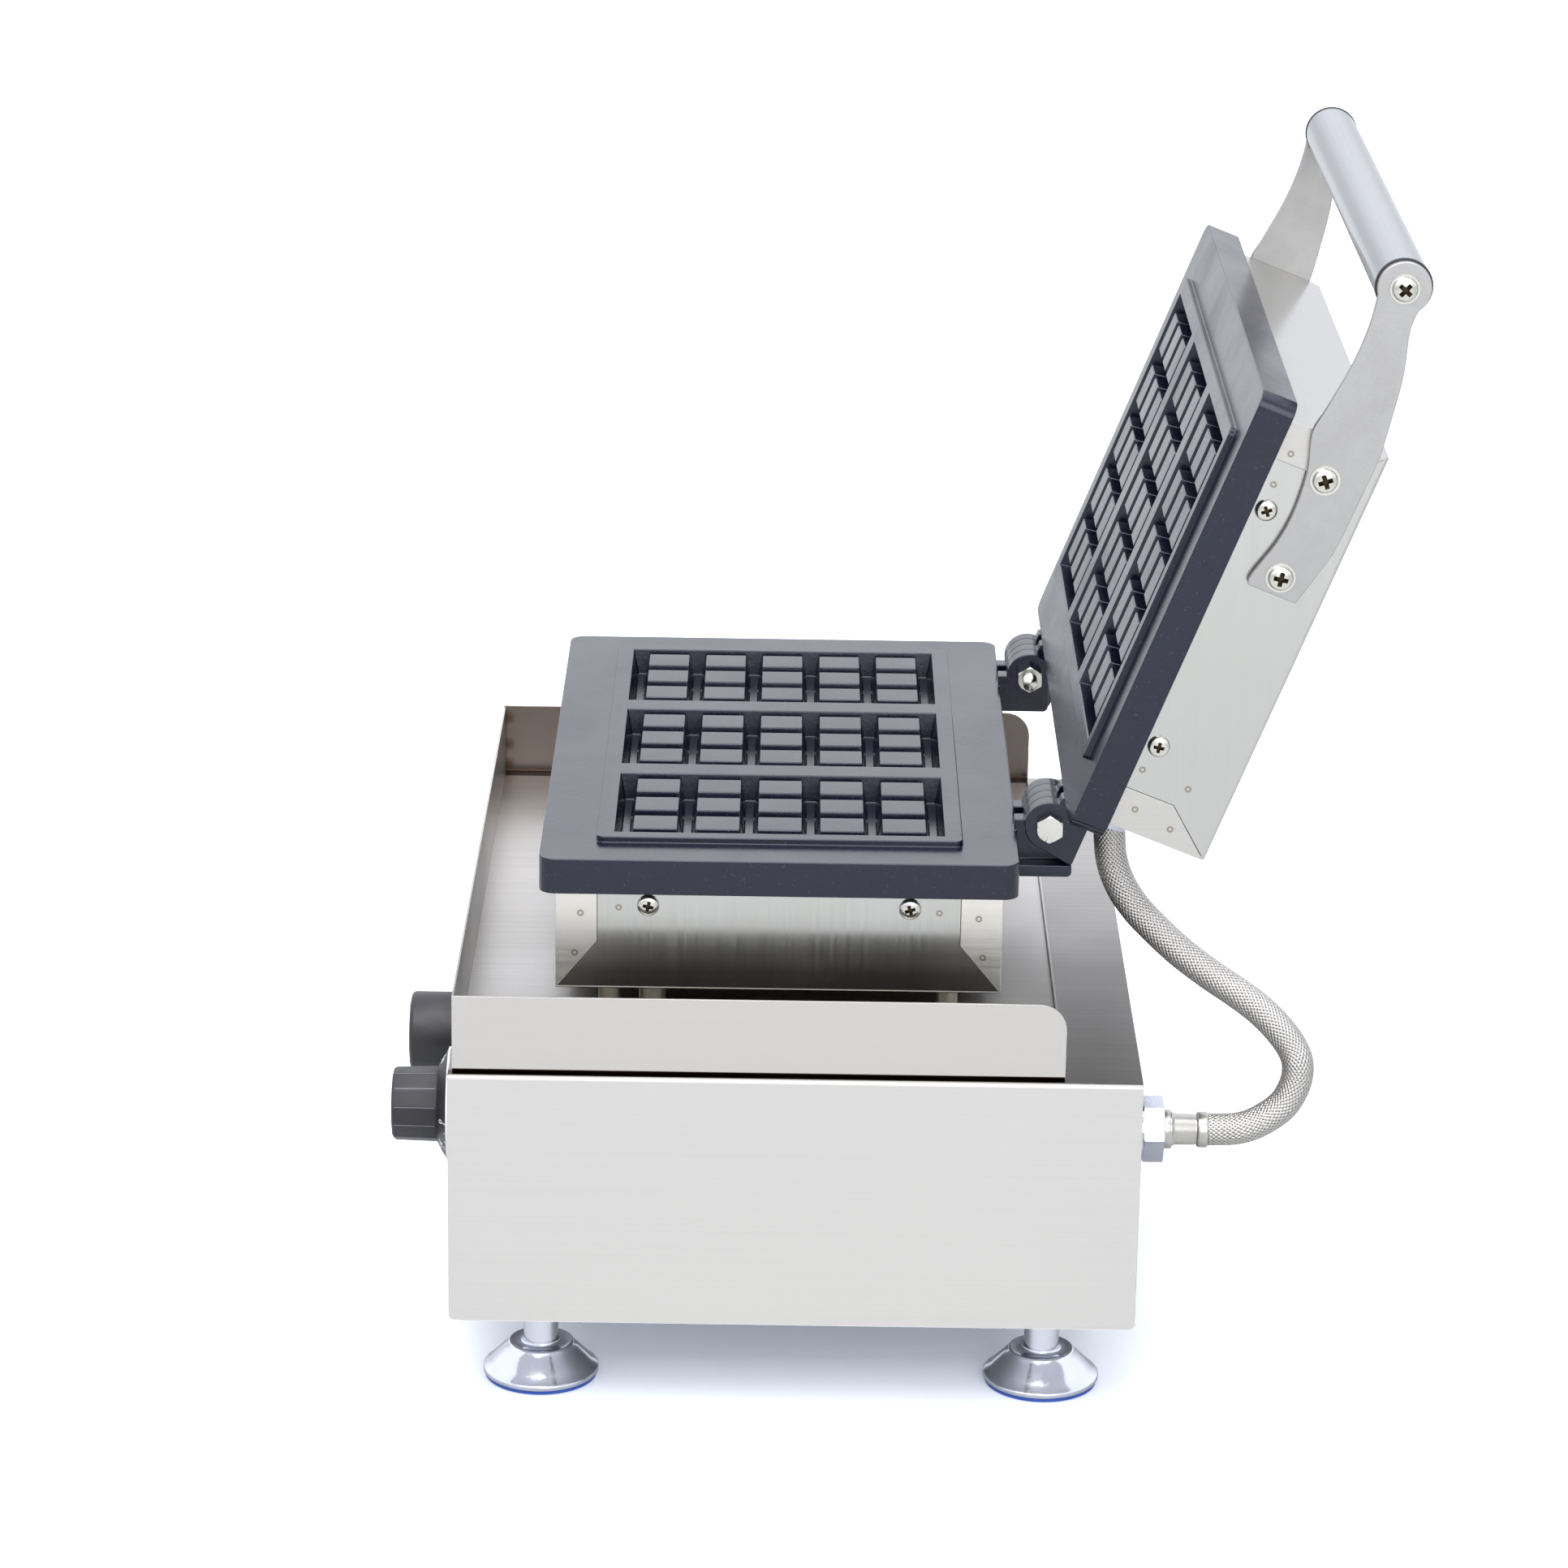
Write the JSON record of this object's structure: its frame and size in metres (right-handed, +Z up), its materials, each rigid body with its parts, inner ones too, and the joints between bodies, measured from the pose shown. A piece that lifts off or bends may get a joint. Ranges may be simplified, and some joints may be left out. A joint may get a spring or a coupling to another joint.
{
  "type": "waffle maker",
  "caption": "Counter-top belgian waffle maker with a hinged upper plate, spill tray, two knobs and a braided hose.",
  "frame": {"origin": "middle of the machine's box at floor level, lid open, hose left out", "axes": "+Z up; -Y towards the user, where the knobs are; +X to the machine's right-hand side, where the hose is"},
  "size_m": [0.49, 0.5144, 0.5956],
  "materials": {
    "brushed_sheet": "brushed stainless sheet, fine horizontal grain",
    "base_sheet": "plain stainless sheet",
    "bright_sheet": "bright cold-rolled stainless sheet",
    "arm_steel": "matt bead-blasted steel",
    "bright_tube": "polished tube",
    "zinc_screws": "bright zinc plated",
    "foot_chrome": "chrome plated pressed steel",
    "foot_film": "blue foam-backed film",
    "black_plastic": "satin black phenolic",
    "control_body": "cream moulding",
    "ceramic": "glazed ceramic",
    "shaft_steel": "turned steel",
    "inlet_metal": "nickel plated brass",
    "leg_steel": "plain steel tube",
    "plate_casting": "grey non-stick coating on cast aluminium",
    "heater_sheath": "oxidised heater sheath",
    "clamp_sheet": "plain steel sheet",
    "blanket": "ceramic-fibre blanket",
    "bulb_copper": "copper",
    "gland_metal": "nickel plated",
    "braid": "braided stainless wire sleeve"
  },
  "bodies": {
    "base": {"housing": "brushed_sheet", "front_panel": "brushed_sheet", "rear_panel": "brushed_sheet", "spill_tray": "brushed_sheet", "base_plate": "base_sheet", "lower_box": "bright_sheet", "base_screws": "zinc_screws", "foot_bolts": "zinc_screws", "leg_bolts": "zinc_screws", "lower_box_screws": "zinc_screws", "lower_clamp_screws": "zinc_screws", "hinge_bolts": "zinc_screws", "hinge_nuts": "zinc_screws", "mains_inlet": "black_plastic", "thermostat_body": "control_body", "timer_body": "control_body", "terminal_block": "ceramic", "inlet_pins": "inlet_metal", "support_legs": "leg_steel", "wire_conduit": "leg_steel", "lower_plate": "plate_casting", "lower_element": "heater_sheath", "lower_clamp_plate": "clamp_sheet", "lower_blanket": "blanket", "thermostat_bulb": "bulb_copper", "hose_gland": "gland_metal", "hose_gland_nut": "gland_metal", "hose_ferrule": "gland_metal", "hose": "braid"},
    "lid": {"upper_plate": "plate_casting", "upper_box": "bright_sheet", "upper_box_screws": "zinc_screws", "upper_element": "heater_sheath", "upper_clamp_plate": "clamp_sheet", "upper_clamp_screws": "zinc_screws", "upper_blanket": "blanket", "arm_right": "arm_steel", "arm_left": "arm_steel", "arm_screws": "zinc_screws", "arm_nuts": "zinc_screws", "handle_tube": "bright_tube", "handle_plugs": "black_plastic", "handle_screws": "zinc_screws", "lid_connector": "gland_metal"},
    "thermostat_dial": {"thermostat_knob": "black_plastic", "thermostat_shaft": "shaft_steel"},
    "timer_dial": {"timer_knob": "black_plastic", "timer_shaft": "shaft_steel"},
    "foot_front_right_body": {"foot_front_right": "foot_chrome", "foot_pad_front_right": "foot_film"},
    "foot_front_left_body": {"foot_front_left": "foot_chrome", "foot_pad_front_left": "foot_film"},
    "foot_rear_right_body": {"foot_rear_right": "foot_chrome", "foot_pad_rear_right": "foot_film"},
    "foot_rear_left_body": {"foot_rear_left": "foot_chrome", "foot_pad_rear_left": "foot_film"}
  },
  "joints": [
    {"name": "lid_hinge", "type": "hinge", "parent": "base", "child": "lid", "pos_m": [0, 0.08026, 0.2869], "axis": [1, 0, 0], "range_deg": [0, 111.5], "deforming": ["hose"]},
    {"name": "thermostat_turn", "type": "hinge", "parent": "base", "child": "thermostat_dial", "pos_m": [0.159, -0.22324, 0.1325], "axis": [0, 1, 0], "range_deg": [0, 270]},
    {"name": "timer_turn", "type": "hinge", "parent": "base", "child": "timer_dial", "pos_m": [0.056, -0.22324, 0.1325], "axis": [0, 1, 0], "range_deg": [0, 300]},
    {"name": "foot_front_right_screw", "type": "hinge", "parent": "base", "child": "foot_front_right_body", "pos_m": [0.2, -0.17824, 0.02], "axis": [0, 0, 1], "continuous": true},
    {"name": "foot_front_left_screw", "type": "hinge", "parent": "base", "child": "foot_front_left_body", "pos_m": [-0.2, -0.17824, 0.02], "axis": [0, 0, 1], "continuous": true},
    {"name": "foot_rear_right_screw", "type": "hinge", "parent": "base", "child": "foot_rear_right_body", "pos_m": [0.2, 0.08176, 0.02], "axis": [0, 0, 1], "continuous": true},
    {"name": "foot_rear_left_screw", "type": "hinge", "parent": "base", "child": "foot_rear_left_body", "pos_m": [-0.2, 0.08176, 0.02], "axis": [0, 0, 1], "continuous": true}
  ]
}
